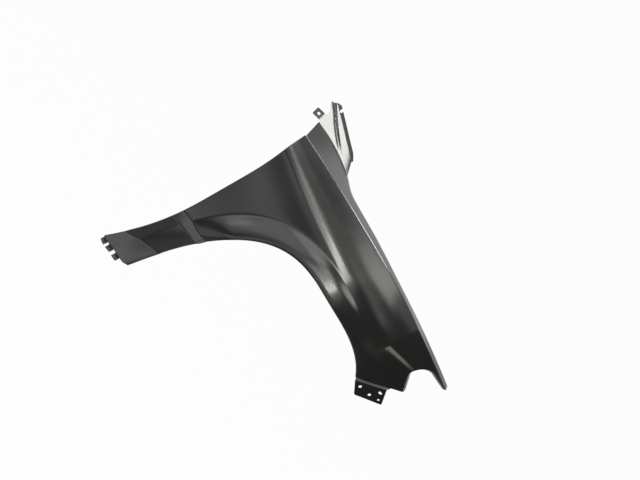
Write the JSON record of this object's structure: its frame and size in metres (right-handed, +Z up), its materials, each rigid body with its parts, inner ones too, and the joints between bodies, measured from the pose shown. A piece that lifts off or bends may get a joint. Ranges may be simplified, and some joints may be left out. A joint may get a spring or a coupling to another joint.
{
  "type": "car_fender",
  "caption": "Right-hand front car fender, one pressed steel sheet in black primer, with folded flanges, a rear upper panel, a pillar tab, sill tabs and a bumper bracket",
  "frame": {"origin": "on the inboard face of the rail flange, near its middle bolt slot, where the inner rail holds the fender", "axes": "+X towards the front of the car, +Y inboard, +Z up, as the fender sits on the car"},
  "size_m": [0.899, 0.252, 0.813],
  "materials": {
    "black_primer": "gloss"
  },
  "bodies": {
    "root": {"fender_panel": "black_primer"}
  },
  "joints": []
}
